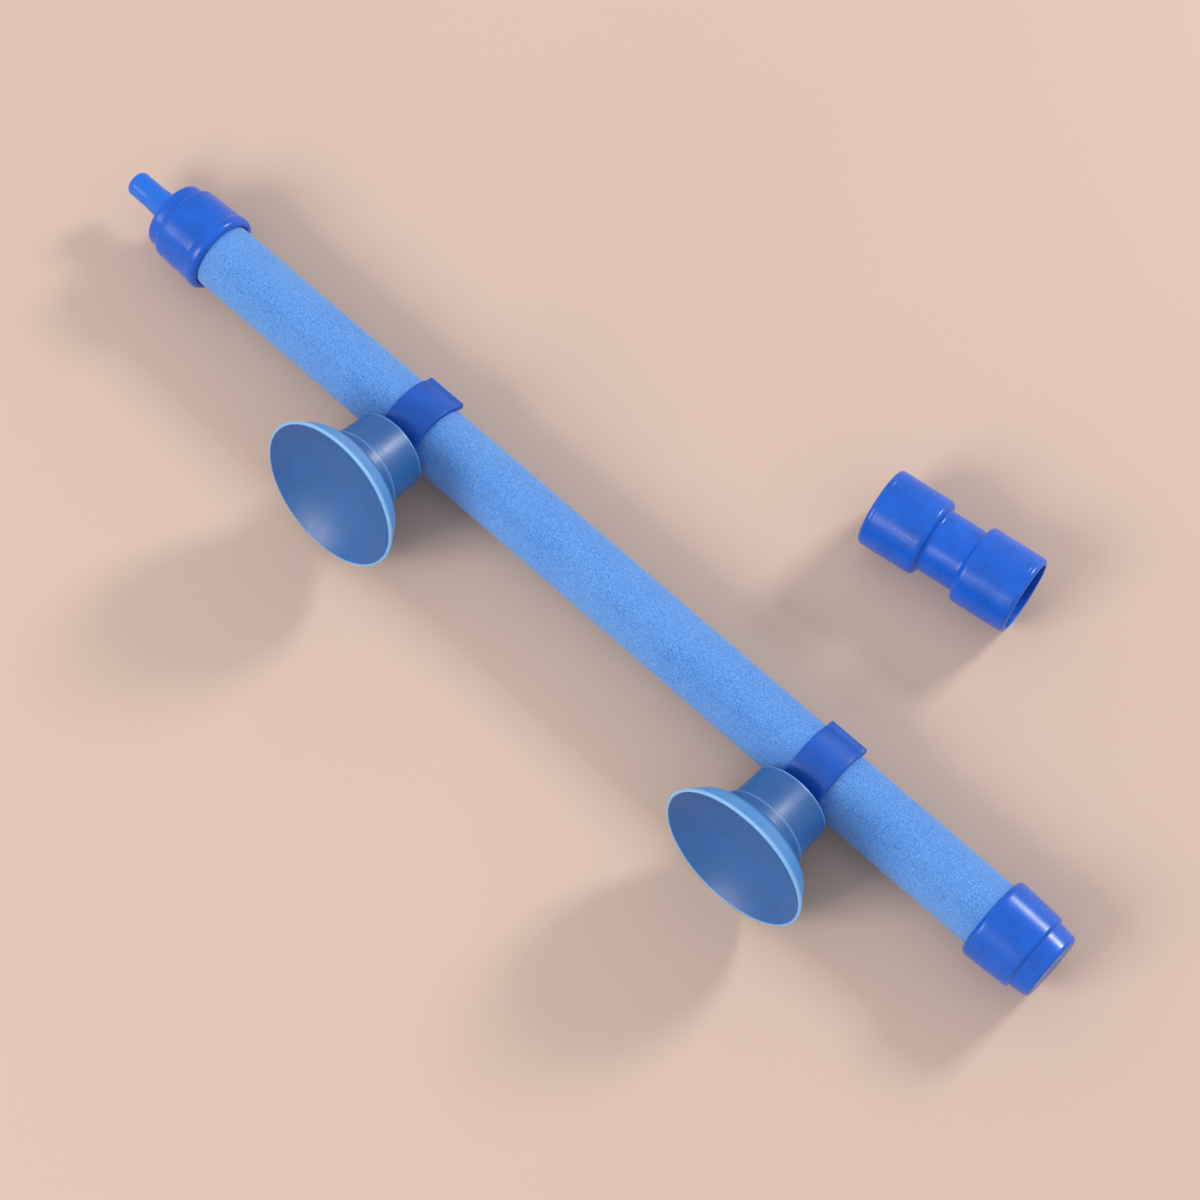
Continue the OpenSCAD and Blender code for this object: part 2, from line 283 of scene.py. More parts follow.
def bend(p0, p1, p2, n=12):
    out = []
    for i in range(n + 1):
        t = i / n
        out.append(
            tuple(
                (1 - t) ** 2 * a + 2 * t * (1 - t) * b + t * t * c for a, b, c in zip(p0, p1, p2)
            )
        )
    return out


def softened(points, radius, closed, least=24):
    """The outline with each corner sharper than least degrees replaced by a small arc."""
    pts = [Vector(p) for p in points]
    pts = [p for i, p in enumerate(pts) if (p - pts[i - 1]).length > 1e-6 or i == 0]
    count, out = len(pts), []
    for i, p in enumerate(pts):
        if not closed and i in (0, count - 1):
            out.append(p)
            continue
        before, after = pts[i - 1] - p, pts[(i + 1) % count] - p
        bent = math.pi - before.angle(after)
        if bent < math.radians(least):
            out.append(p)
            continue
        reach = min(radius * math.tan(bent / 2), 0.45 * before.length, 0.45 * after.length)
        start, end = p + before.normalized() * reach, p + after.normalized() * reach
        out.extend(Vector(q) for q in bend(start, p, end, 5))
    return out


def dense(points, step, closed):
    """The outline with no stretch longer than step."""
    pts, out = list(points), []
    pairs = zip(pts, pts[1:] + pts[:1]) if closed else zip(pts, pts[1:])
    for a, b in pairs:
        n = max(1, math.ceil((b - a).length / step))
        out.extend(a.lerp(b, i / n) for i in range(n))
    return out if closed else [*out, pts[-1]]


def smooth(mesh):
    mesh.shade_smooth()
    mesh.set_sharp_from_angle(angle=SHARP_ANGLE)


def mesh_piece(name, verts, faces):
    mesh = bpy.data.meshes.new(name)
    mesh.from_pydata([tuple(v) for v in verts], [], faces)
    mesh.validate()
    smooth(mesh)
    piece = bpy.data.objects.new(name, mesh)
    bpy.context.scene.collection.objects.link(piece)
    return piece


def lathe(name, side, start, along, closed, segments, shape=None, step=0.45, soften=0.12):
    """A turned piece.

    side is its outline in millimetres, start is where the outline's zero lies, and along is
    the axis. shape moves points: it takes their radii, places and angles, and gives new
    radii and places.
    """
    pts = dense(softened(side, soften, closed), step, closed)
    radii = np.array([p[0] for p in pts])[:, None]
    places = np.array([p[1] for p in pts])[:, None]
    angles = np.linspace(0, 2 * math.pi, segments, endpoint=False)[None, :]
    radii, places = radii + 0 * angles, places + 0 * angles
    if shape:
        radii, places = shape(radii, places, angles + 0 * radii)
    axis = np.array(along, float)
    axis /= np.linalg.norm(axis)
    across = np.array((1.0, 0, 0)) if abs(axis[0]) < 0.5 else np.array((0, 0, 1.0))
    across -= axis * (across @ axis)
    across /= np.linalg.norm(across)
    third = np.cross(axis, across)
    ring = np.cos(angles)[..., None] * across + np.sin(angles)[..., None] * third
    grid = np.array(start, float) + MM * (places[..., None] * axis + radii[..., None] * ring)
    rows = len(pts)
    verts, index = [], np.zeros((rows, segments), int)
    for i in range(rows):
        if not closed and i in (0, rows - 1):
            index[i, :] = len(verts)
            verts.append(grid[i].mean(0))
        else:
            index[i, :] = np.arange(segments) + len(verts)
            verts.extend(grid[i])
    faces = []
    for i in range(rows if closed else rows - 1):
        k = (i + 1) % rows
        for j in range(segments):
            m = (j + 1) % segments
            corners = [index[i, j], index[i, m], index[k, m], index[k, j]]
            face = [int(c) for n, c in enumerate(corners) if c != corners[n - 1]]
            faces.append(face)
    piece = mesh_piece(name, verts, faces)
    face_outwards(piece)
    return piece


def face_outwards(piece):
    """Turns the faces of a closed piece so that its volume is positive."""
    mesh = piece.data
    mesh.calc_loop_triangles()
    volume = 0
    for t in mesh.loop_triangles:
        a, b, c = (mesh.vertices[i].co - BAR for i in t.vertices)
        volume += a.dot(b.cross(c))
    if volume < 0:
        mesh.flip_normals()


def joined(piece, other):
    """The two closed solids made into one, with the seam between them cut clean."""
    cut = piece.modifiers.new("join", "BOOLEAN")
    cut.operation, cut.object, cut.solver = "UNION", other, "EXACT"
    bpy.context.view_layer.update()
    graph = bpy.context.evaluated_depsgraph_get()
    mesh = bpy.data.meshes.new_from_object(piece.evaluated_get(graph))
    piece.modifiers.clear()
    piece.data = mesh
    bpy.data.objects.remove(other)
    smooth(mesh)
    return piece


def place(piece, body, node, finish):
    piece.data.materials.clear()
    piece.data.materials.append(finish)
    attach(piece, body)
    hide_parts(node)
    return piece


# Finishes


class Finish:
    """A material and short ways to add nodes to it."""

    def __init__(self, name):
        self.material = bpy.data.materials.new(name)
        self.material.use_nodes = True
        self.nodes = self.material.node_tree.nodes
        self.links = self.material.node_tree.links
        self.nodes.clear()
        out = self.nodes.new("ShaderNodeOutputMaterial")
        self.skin = self.nodes.new("ShaderNodeBsdfPrincipled")
        self.links.new(self.skin.outputs[0], out.inputs["Surface"])
        self.coords = self.nodes.new("ShaderNodeTexCoord").outputs["Object"]

    def add(self, kind, into=None, **inputs):
        node = self.nodes.new(kind)
        for key, value in (into or {}).items():
            setattr(node, key, value)
        for key, value in inputs.items():
            socket = node.inputs[int(key[1:]) if key[1:].isdigit() else key.replace("_", " ")]
            if isinstance(value, bpy.types.NodeSocket):
                self.links.new(value, socket)
            else:
                socket.default_value = value
        return node

    def grain(self, size, detail=2.0, rough=0.5, vector=None):
        """Noise whose features are about size metres across."""
        node = self.add(
            "ShaderNodeTexNoise",
            Vector=vector or self.coords,
            Scale=1 / size,
            Detail=detail,
            Roughness=rough,
        )
        return node.outputs[0]

    def cells(self, size):
        """Cells of about size metres across."""
        return self.add("ShaderNodeTexVoronoi", Vector=self.coords, Scale=1 / size)

    def spread(self, value, low, high, to_low=0.0, to_high=1.0):
        node = self.add("ShaderNodeMapRange", {"clamp": True}, Value=value)
        for key, number in zip(
            ("From Min", "From Max", "To Min", "To Max"), (low, high, to_low, to_high)
        ):
            node.inputs[key].default_value = number
        return node.outputs[0]

    def maths(self, operation, a, b=0.5):
        return self.add("ShaderNodeMath", {"operation": operation}, _0=a, _1=b).outputs[0]

    def mixed(self, factor, a, b):
        node = self.add("ShaderNodeMix", {"data_type": "RGBA"})
        for key, value in ((0, factor), (6, a), (7, b)):
            if isinstance(value, bpy.types.NodeSocket):
                self.links.new(value, node.inputs[key])
            elif key == 0:
                node.inputs[key].default_value = value
            else:
                node.inputs[key].default_value = (*value[:3], 1)
        return node.outputs[2]

    def bumped(self, height, depth, strength=1.0, after=None):
        node = self.add("ShaderNodeBump", Height=height, Strength=strength, Distance=depth)
        if after:
            self.links.new(after, node.inputs["Normal"])
        return node.outputs[0]

    def give(self, **sockets):
        for key, value in sockets.items():
            socket = self.skin.inputs[key.replace("_", " ")]
            if isinstance(value, bpy.types.NodeSocket):
                self.links.new(value, socket)
            else:
                socket.default_value = value
        return self.material


def shade(rgb, factor):
    return tuple(min(1.0, c * factor) for c in rgb)


def stone_finish(s):
    """Fine sintered grains with painted shade in the pores between them, and a few pale ones."""
    f = Finish("sintered_stone")
    cell = f.cells(s.grain)
    one = f.add("ShaderNodeSeparateColor", Color=cell.outputs["Color"]).outputs[0]
    fine = f.grain(s.grain * 0.9, 2, 0.6)
    broad = f.grain(14 * MM, 2, 0.5)
    streak = f.grain(3.5 * MM, 3, 0.55)
    # Painted shade: the fine noise's low points, which the bump also sinks, get the pore colour.
    pore_shade = f.spread(fine, 0.38, 0.52)
    base = f.mixed(f.spread(one, 0.35, 1, 0, 0.55), s.body, s.pale)
    base = f.mixed(pore_shade, s.pore_shade_and_streak, base)
    base = f.mixed(f.spread(broad, 0.4, 0.65, 0, 0.12), base, s.pale)
    base = f.mixed(f.spread(streak, 0.4, 0.7, 0, 0.1), base, s.pore_shade_and_streak)
    height = f.maths("SUBTRACT", fine, f.maths("MULTIPLY", cell.outputs["Distance"], 0.6))
    normal = f.bumped(height, 0.14 * MM, 0.8)
    return f.give(
        Base_Color=base,
        Roughness=f.spread(one, 0, 1, 0.8, 0.97),
        Normal=normal,
        Specular_IOR_Level=0.25,
        Sheen_Weight=0.25,
        Sheen_Roughness=0.6,
    )


def plastic_finish(p, name, roughness, body, glowing=None):
    """Moulded plastic.

    glowing gives two places along X: where the wall starts to get slender and where it fully is.
    Between them the colour turns to a painted glow, which stands in for light shining through the
    slender wall.
    """
    f = Finish(name)
    cloud = f.grain(5 * MM, 3, 0.55)
    skin = f.grain(0.28 * MM, 2, 0.5)
    smear = f.grain(1.6 * MM, 4, 0.6)
    stretched = f.add("ShaderNodeMapping", Vector=f.coords, Scale=(1, 9, 9)).outputs[0]
    scuffs = f.grain(2.2 * MM, 5, 0.65, stretched)
    base = f.mixed(f.spread(cloud, 0.3, 0.7), shade(body, 0.86), shade(body, 1.12))
    # Painted glow along the nipple, where light would shine through the slender wall.
    if glowing:
        x = f.add("ShaderNodeSeparateXYZ", Vector=f.coords).outputs[0]
        base = f.mixed(f.spread(x, *glowing), base, p.glowing)
    scuffed = f.spread(scuffs, 0.6, 0.78, 0, 0.14)
    rough = f.maths("ADD", f.spread(smear, 0.3, 0.7, roughness - 0.05, roughness + 0.06), scuffed)
    normal = f.bumped(skin, 0.012 * MM, 0.5)
    normal = f.bumped(f.grain(2.6 * MM, 2, 0.5), 0.05 * MM, 0.45, normal)
    return f.give(
        Base_Color=base,
        Roughness=rough,
        Normal=normal,
        IOR=1.4,
        Coat_Weight=p.coat,
        Coat_Roughness=0.2,
        Subsurface_Weight=0.25,
        Subsurface_Radius=(0.1, 0.45, 1.0),
        Subsurface_Scale=1.2 * MM,
    )


def vinyl_finish(c, name, ball, along):
    """Soft, slightly see-through vinyl.

    It has painted light where the cup's wall is slender: a painted glow on the bell's back near the
    lip, and painted highlights along the lip and the neck's edge, and along the ring's edge too.
    """
    f = Finish(name)
    offset = f.add("ShaderNodeVectorMath", {"operation": "SUBTRACT"}, _0=f.coords, _1=ball)
    offset = offset.outputs[0]
    out = f.add("ShaderNodeVectorMath", {"operation": "DOT_PRODUCT"}, _0=offset, _1=along)
    out = out.outputs["Value"]
    far = f.add("ShaderNodeVectorMath", {"operation": "LENGTH"}, _0=offset).outputs["Value"]
    cloud = f.grain(4 * MM, 3, 0.55)
    speck = f.cells(2.4 * MM)
    lone = f.add("ShaderNodeSeparateColor", Color=speck.outputs["Color"]).outputs[0]
    dust = f.maths(
        "MULTIPLY",
        f.spread(speck.outputs["Distance"], 0.03, 0.045, 1, 0),
        f.spread(lone, 0.93, 0.94),
    )
    base = f.mixed(f.spread(cloud, 0.3, 0.7), shade(c.vinyl, 0.93), shade(c.vinyl, 1.07))
    # Painted glow on the bell's back near the lip, where the surface faces back towards the neck.
    facing = f.add("ShaderNodeTexCoord").outputs["Normal"]
    facing = f.add("ShaderNodeVectorMath", {"operation": "DOT_PRODUCT"}, _0=facing, _1=along)
    back = f.spread(facing.outputs["Value"], 0, -0.3)
    glowing = f.maths("MULTIPLY", back, f.spread(far, 14.4 * MM, 15.8 * MM, 0, 0.7))
    base = f.mixed(glowing, base, c.glow)
    # Painted highlight: a pale line along the lip's edge.
    base = f.mixed(f.spread(far, 18.55 * MM, 18.85 * MM, 0, 0.8), base, c.rim)
    # Painted highlight along the neck's end edge.
    edge = f.maths(
        "MULTIPLY", f.spread(out, -3.55 * MM, -3.85 * MM), f.spread(far, 8.2 * MM, 8.5 * MM)
    )
    base = f.mixed(f.maths("MULTIPLY", edge, 0.6), base, c.rim)
    # Painted highlight: a faint pale line along the ring's crisp edge.
    ring = f.maths("ABSOLUTE", f.maths("SUBTRACT", far, RING_AWAY * MM))
    ring = f.maths(
        "MULTIPLY", f.spread(ring, 0.1 * MM, 0.3 * MM, 0.28, 0), f.spread(out, 4.4 * MM, 4.1 * MM)
    )
    base = f.mixed(ring, base, c.rim)
    base = f.mixed(f.maths("MULTIPLY", dust, 0.6), base, (0.75, 0.74, 0.72))
    rough = f.spread(f.grain(1.2 * MM, 4, 0.6), 0.3, 0.7, c.roughness - 0.05, c.roughness + 0.07)
    normal = f.bumped(f.grain(0.22 * MM, 2, 0.5), 0.012 * MM, 0.5)
    normal = f.bumped(f.grain(3.2 * MM, 2, 0.5), 0.05 * MM, 0.4, normal)
    return f.give(
        Base_Color=base,
        Roughness=rough,
        Normal=normal,
        IOR=1.5,
        Coat_Weight=0.35,
        Coat_Roughness=0.34,
        Subsurface_Weight=c.soft,
        Subsurface_Radius=(0.3, 0.6, 1.0),
        Subsurface_Scale=1.8 * MM,
    )


def settings():
    return bpy.context.scene.air_stone


def royal_plastic(p):
    """The glossy finish that the tail cap and the connector share."""
    name = "royal_plastic"
    return bpy.data.materials.get(name) or plastic_finish(p, name, p.roughness, p.body)


# Pieces


def stone_side(s):
    half = STONE_LEN / 2 / MM
    r, bore, edge = s.radius / MM, s.bore / MM, s.edge / MM
    return [
        (bore, -half),
        (r - edge, -half),
        (r, -half + edge),
        (r, half - edge),
        (r - edge, half),
        (bore, half),
    ]


def step_side(low_r, high_r, at):
    fillet, edge, long = 0.4 * (high_r - low_r), 0.6 * (high_r - low_r), 1.5
    step = arc((low_r + fillet, fillet), fillet, 180, 270, 8)
    step += arc((high_r - edge, -edge), edge, 90, 0, 8)
    return [(r, at + long * s) for r, s in step]


class CapShape:
    """A cap's outlines, from its settings, in millimetres from its mouth."""

    def __init__(self, caps, stone):
        self.r = caps.radius / MM
        self.socket = stone.radius / MM + CAP_GAP
        self.step_r = self.r - caps.draft / MM
        self.chamber = stone.radius / MM - 1.7
        self.body = caps.body / MM
        self.round = caps.rounding / MM

    def socket_side(self, seat, floor_at):
        flare, depth = 0.25, 1.0
        lip = self.r - self.socket - flare - 0.1
        bottom = seat / MM + 0.1
        return [
            *arc((self.r - lip, lip), lip, 0, -90, 12),
            (self.socket + flare, 0),
            (self.socket, depth),
            (self.socket, bottom),
            (self.chamber, bottom),
            (self.chamber, floor_at),
        ]

    def inlet(self, caps, tip):
        collar_r = self.step_r - caps.collar_step / MM
        shoulder = self.body + caps.collar / MM
        r, bore = caps.nipple / MM, caps.nipple_bore / MM
        root, tip_r, straight = r + 0.4, 1.0, caps.straight / MM
        groove, bead = self.r - caps.groove / MM, caps.bead / MM
        floor_at = shoulder - END_WALL
        return [
            (bore, tip - 0.15),
            (bore + 0.15, tip),
            *arc((r - tip_r, tip - tip_r), tip_r, 90, 0, 8),
            (r, tip - tip_r - straight),
            *arc((root + 0.4, shoulder + 0.4), 0.4, 180, 270, 6),
            *arc((collar_r - self.round, shoulder - self.round), self.round, 90, 0, 10),
            *step_side(collar_r, self.step_r, self.body),
            (groove, bead + 1),
            *bend((groove, bead + 0.3), (groove, bead), (self.r, bead - 0.7), 8),
            *self.socket_side(INLET_SEAT, floor_at),
            (bore, floor_at),
        ]

    def tail(self, caps, end):
        end_r = self.step_r - caps.tail_step / MM
        small = end_r - caps.tail_draft / MM - self.round
        floor_at = end - END_WALL
        return [
            (0, end - 0.04),
            (1.0, end - 0.04),
            (1.2, end),
            *arc((small, end - self.round), self.round, 90, 0, 10),
            *step_side(end_r, self.step_r, caps.tail_body / MM),
            *self.socket_side(TAIL_SEAT, floor_at),
            (0, floor_at),
        ]


def moulded(height, inner, seam_at=(0.0, math.pi), width=0.022):
    """A shape for lathe(): a fine parting line outside, and a slow unevenness of the wall."""

    def shape(radii, places, angles):
        outside = radii > inner
        line = 0
        for at in seam_at:
            away = np.abs((angles - at + math.pi) % (2 * math.pi) - math.pi)
            line = line + np.exp(-((away / width) ** 2))
        slow = 0.012 * np.sin(2 * angles + 0.35 * places) * np.sin(0.6 * places + 1)
        return radii + outside * (height * line - 0.012 + slow), places

    return shape


def clip_outline(c, stone_r):
    """(angle, inner radius, outer radius) round the band from lip to lip, in millimetres."""
    inner = stone_r + c.gap / MM
    outer = inner + c.thickness / MM
    lip, open_at = c.lip / MM, c.opening
    lip_at = inner + c.thickness / MM / 2 + c.lip_out / MM
    reach = math.asin(lip / lip_at)
    crease, blend = c.crease / MM, math.radians(10)
    angles = [open_at - reach * math.cos(math.radians(a)) for a in range(0, 90, 9)]
    n = 150
    angles += [open_at + (math.pi - open_at) * i / n for i in range(n + 1)]
    out = []
    for a in angles:
        away = abs(a - open_at)
        ro, ri = outer, inner
        if a < open_at + reach:
            mid = lip_at * math.cos(away)
            half = math.sqrt(max(0.0, lip**2 - (lip_at * math.sin(away)) ** 2))
            ro = max(mid + half, outer) if a > open_at else mid + half
            ri = max(inner, mid - half)
        if a > open_at:
            t = min(1.0, (a - open_at) / blend)
            smooth = t * t * (3 - 2 * t)
            ro = outer + (lip_at + lip - outer) * (1 - smooth)
            ro -= crease * math.exp(-(((a - open_at - blend * 1.05) / 0.05) ** 2))
        out.append((a, ri, max(ro, ri + 0.02)))
    other = [(2 * math.pi - a, ri, ro) for a, ri, ro in reversed(out[:-1])]
    return out + other


def section_points(ri, ro, width, edge, across=9):
    e = min(edge, 0.42 * (ro - ri))
    half = width / 2
    pts = []

    def corner(cr, cx, a0):
        for i in range(5):
            a = math.radians(a0 + 22.5 * i)
            pts.append((cr + e * math.cos(a), cx + e * math.sin(a)))

    def run(r, x0, x1):
        for i in range(1, across):
            pts.append((r, x0 + (x1 - x0) * i / across))

    corner(ro - e, half - e, 0)
    corner(ri + e, half - e, 90)
    run(ri, half - e, -half + e)
    corner(ri + e, -half + e, 180)
    corner(ro - e, -half + e, 270)
    run(ro, -half + e, half - e)
    return pts


def make_clip(c, stone_r, x, along, ball_away, name):
    outline = clip_outline(c, stone_r)
    width, edge = c.width / MM, c.edge / MM
    centre = Vector((x, BAR.y, BAR.z))
    opening = -along
    third = Vector((1, 0, 0)).cross(opening)
    verts, rings = [], []
    for a, ri, ro in outline:
        ring = []
        for r, s in section_points(ri, ro, width, edge):
            ring.append(len(verts))
            verts.append(
                centre
                + MM * (r * (math.cos(a) * opening + math.sin(a) * third) + s * Vector((1, 0, 0)))
            )
        rings.append(ring)
    faces = []
    for low, high in zip(rings, rings[1:]):
        for j in range(len(low)):
            m = (j + 1) % len(low)
            faces.append([low[j], low[m], high[m], high[j]])
    faces += [rings[0][::-1], rings[-1]]
    band = mesh_piece(name, verts, faces)
    face_outwards(band)
    start = stone_r + c.gap / MM + c.thickness / MM / 2
    top = stone_r + c.gap / MM + c.thickness / MM
    ball, stem = c.ball / MM, c.stem / MM
    tuck = math.degrees(math.acos(stem / ball))
    stud = lathe(
        name + "_stud",
        [
            (0, start),
            (stem + 1.25, start),
            (stem + 0.7, top),
            *bend((stem + 0.62, top + 0.05), (stem, top + 0.1), (stem, top + 0.8), 6),
            *arc((0, ball_away), ball, -tuck, 90, 20)[:-1],
            (0, ball_away + ball),
        ],
        centre,
        along,
        False,
        64,
        step=0.4,
        soften=0.05,
    )
    return joined(band, stud)


def cup_side(c, ball_r, stem_r):
    """The cup's outline from the ball seat's floor round to the middle of the hollow."""
    r, span, depth = c.radius / MM, c.span / MM, c.depth / MM
    neck, flare, neck_len = c.neck / MM, c.flare / MM, c.neck_len / MM
    ring, lip = neck + c.ring / MM, c.lip / MM / 2
    seat, hole, at = ball_r + BALL_GAP, stem_r + 0.25, BALL_PLACE
    mouth = math.degrees(math.asin(hole / seat))
    back = min(neck_len + 2.5, span - depth + 0.3)
    belly = (r - 1.7, span - 3.0)
    dish_side = r - lip - 0.15
    dish_r = (dish_side**2 + depth**2) / (2 * depth)
    edge = math.asin(dish_side / dish_r)
    side = arc((0, at), seat, 90, -90 + mouth, 16)
    side += [(hole, 0.4), (hole + 0.4, 0)]
    side += arc((neck - 0.3, 0.3), 0.3, -90, 0, 6)
    side += bend((neck, 1), (neck, neck_len * 0.55), (neck + flare, neck_len - 0.25), 14)
    side += arc((ring - 0.15, neck_len + 0.15), 0.15, -90, 0, 5)
    side += bend((ring + 0.1, back - 0.9), (ring + 0.1, back), (ring + 1.2, back + 0.1), 8)
    side += bend((ring + 1.6, back + 0.25), (belly[0] - 0.9, belly[1] - 1.4), belly, 14)
    side += bend(
        (belly[0] + 0.1, belly[1] + 0.2),
        (belly[0] + 0.8, belly[1] + 1.4),
        (r, span - lip - 0.1),
        12,
    )
    side += arc((r - lip, span - lip), lip, 0, 90, 8)
    for i in range(31):
        a = edge * (1 - i / 30)
        side.append((dish_r * math.sin(a), span - depth + dish_r * (1 - math.cos(a))))
    side[0] = (0, side[0][1])
    return side


def soft_lip(c, amount, turns):
    """A shape for lathe(): the lip bends back a little here and there, as soft vinyl does."""
    r, span, sag = c.radius / MM, c.span / MM, c.sag / MM

    def shape(radii, places, angles):
        reach = np.clip((radii / r - 0.45) / 0.55, 0, 1) ** 2
        reach = reach * np.clip((places - span + 6) / 3, 0, 1)
        wave = sum(
            weight * (0.5 + 0.5 * np.cos(k * angles + phase)) for k, weight, phase in turns
        )
        return radii, places - amount * sag * reach * wave

    return shape


def mirrored(points):
    return [(r, -at) for r, at in reversed(points)]


def connector_side(c):
    half, waist = c.span / MM / 2, c.waist / MM / 2
    r, low = c.radius / MM, c.radius / MM - c.step / MM
    bore, seat, hole, chamfer = c.bore / MM, c.seat / MM, 2.5, 0.1
    rounding = c.rounding / MM
    fillet, mouth = r - low - rounding, min(rounding, r - bore - chamfer - 0.1)
    outside = arc((low + fillet, waist - fillet), fillet, 180, 90, 8)
    outside += arc((r - rounding, waist + rounding), rounding, -90, 0, 12)
    outside += [(r, half - 1.3), (r - 0.06, half - 1.18), (r, half - 1.06)]
    outside += arc((r - mouth, half - mouth), mouth, 0, 90, 12)
    inside = [
        (bore + chamfer, half),
        (bore, half - 2 * chamfer),
        (bore, half - seat),
        (hole + 0.4, half - seat),
        (hole, half - seat - 0.4),
    ]
    return mirrored(outside) + outside + inside + mirrored(inside)


class AIRSTONE_OT_stage(bpy.types.Operator):
    """Camera, plain pale floor and soft studio lights"""

    bl_idname = "airstone.stage"
    bl_label = "Stage"

    def execute(self, context):
        s = settings().stage
        low, high = (Vector(corner) for corner in FRAME_BOX)
        aim = Vector(
            ((low.x + high.x) / 2 + AIM[0] * MM, (low.y + high.y) / 2 + AIM[1] * MM, low.z)
        )
        flat = math.cos(s.elevation)
        back = Vector(
            (math.sin(s.azimuth) * flat, -math.cos(s.azimuth) * flat, math.sin(s.elevation))
        )
        right = Vector((math.cos(s.azimuth), math.sin(s.azimuth), 0))
        right.rotate(Matrix.Rotation(s.roll, 3, back))
        up = back.cross(right)
        camera = bpy.data.objects.new("camera", bpy.data.cameras.new("camera"))
        camera.matrix_world = Matrix.Translation(aim + back * s.distance) @ Matrix(
            (right, up, back)
        ).transposed().to_4x4()
        camera.data.lens, camera.data.sensor_width = s.lens, 36
        camera.data.clip_start, camera.data.clip_end = 0.01, 20
        context.scene.collection.objects.link(camera)
        context.scene.camera = camera
        self.floor(s, low.z)
        self.lights(s)
        return {"FINISHED"}

    def floor(self, s, z):
        half, n = 3.0, 24
        verts = [
            (half * (2 * i / n - 1), half * (2 * j / n - 1), z)
            for i in range(n + 1)
            for j in range(n + 1)
        ]
        faces = [
            [i * (n + 1) + j, (i + 1) * (n + 1) + j, (i + 1) * (n + 1) + j + 1, i * (n + 1) + j + 1]
            for i in range(n)
            for j in range(n)
        ]
        floor = mesh_piece("floor", verts, faces)
        f = Finish("pale_floor")
        tone = f.spread(f.grain(0.2, 3, 0.5), 0.3, 0.7)
        base = f.mixed(tone, shade(s.floor, 0.98), shade(s.floor, 1.02))
        f.give(Base_Color=base, Roughness=0.62, Specular_IOR_Level=0.3)
        floor.data.materials.append(f.material)

    def lights(self, s):
        world = bpy.data.worlds.new("even_light")
        world.use_nodes = True
        sky = world.node_tree.nodes["Background"]
        sky.inputs[0].default_value = (0.95, 0.97, 1, 1)
        sky.inputs[1].default_value = s.sky
        bpy.context.scene.world = world
        bpy.context.scene.view_settings.view_transform = "Standard"
        for name, power, size, where, tint in (
            ("key", s.key, (0.22, 0.18), (0.2, 0.85, 0.49), (1, 0.99, 0.97)),
            ("fill", s.fill, (0.5, 0.4), (-0.25, -0.76, 0.6), (1, 0.96, 0.92)),
        ):
            data = bpy.data.lights.new(name, "AREA")
            data.shape, data.size, data.size_y = "RECTANGLE", *size
            data.energy, data.color = power, tint
            light = bpy.data.objects.new(name, data)
            light.location = where
            light.rotation_euler = (-Vector(where)).to_track_quat("-Z", "Y").to_euler()
            bpy.context.scene.collection.objects.link(light)


class AIRSTONE_OT_stone(bpy.types.Operator):
    """Porous tube of sintered grains"""

    bl_idname = "airstone.stone"
    bl_label = "Porous tube"

    def execute(self, context):
        s = settings().stone
        r, relief, size = s.radius / MM, s.relief / MM, s.grain / MM
        bore = s.bore / MM

        def grains(radii, places, angles):
            depth = np.zeros(radii.shape)
            outer = radii > bore + 0.3
            flat = zip(
                radii[outer], places[outer], np.cos(angles[outer]), np.sin(angles[outer])
            )
            values = [
                0.5
                + 0.5 * noise.noise(Vector((a * c, a * d, b)) / size)
                + 0.25 * noise.noise(Vector((a * c, a * d, b)) / (6 * size))
                for a, b, c, d in flat
            ]
            depth[outer] = np.clip(values, 0, 1)
            return radii - relief * depth * outer, places

        tube = lathe(
            "porous_tube",
            stone_side(s),
            BAR,
            (1, 0, 0),
            True,
            128,
            shape=grains,
            step=0.42,
            soften=0.15,
        )
        finish = stone_finish(s)
        place(tube, "bar", "stone", finish)
        return {"FINISHED"}


class AIRSTONE_OT_caps(bpy.types.Operator):
    """Inlet cap with its hose nipple, and closed tail cap"""

    bl_idname = "airstone.caps"
    bl_label = "End caps"

    def execute(self, context):
        a = settings()
        shape = CapShape(a.caps, a.stone)
        seam = a.caps.seam / MM
        tip = sides("inlet_cap").x / MM
        end = sides("tail_cap").x / MM
        inlet = lathe(
            "nipple_cap",
            shape.inlet(a.caps, tip),
            (INLET_MOUTH, BAR.y, BAR.z),
            (-1, 0, 0),
            True,
            a.segments,
            shape=moulded(seam, shape.socket + 0.35),
        )
        # These two places along X set where the painted glow on the nipple fades in.
        root = (INLET_MOUTH - (shape.body + a.caps.collar / MM) * MM) + 0.3 * MM
        finish = plastic_finish(
            a.plastic,
            "royal_plastic_nipple",
            a.plastic.roughness,
            a.plastic.body,
            (root, root - 1.5 * MM),
        )
        place(inlet, "inlet_cap", "inlet_cap", finish)
        tail = lathe(
            "end_cap",
            shape.tail(a.caps, end),
            (TAIL_MOUTH, BAR.y, BAR.z),
            (1, 0, 0),
            False,
            a.segments,
            shape=moulded(seam, shape.socket + 0.35),
        )
        finish = royal_plastic(a.plastic)
        place(tail, "tail_cap", "tail_cap", finish)
        return {"FINISHED"}


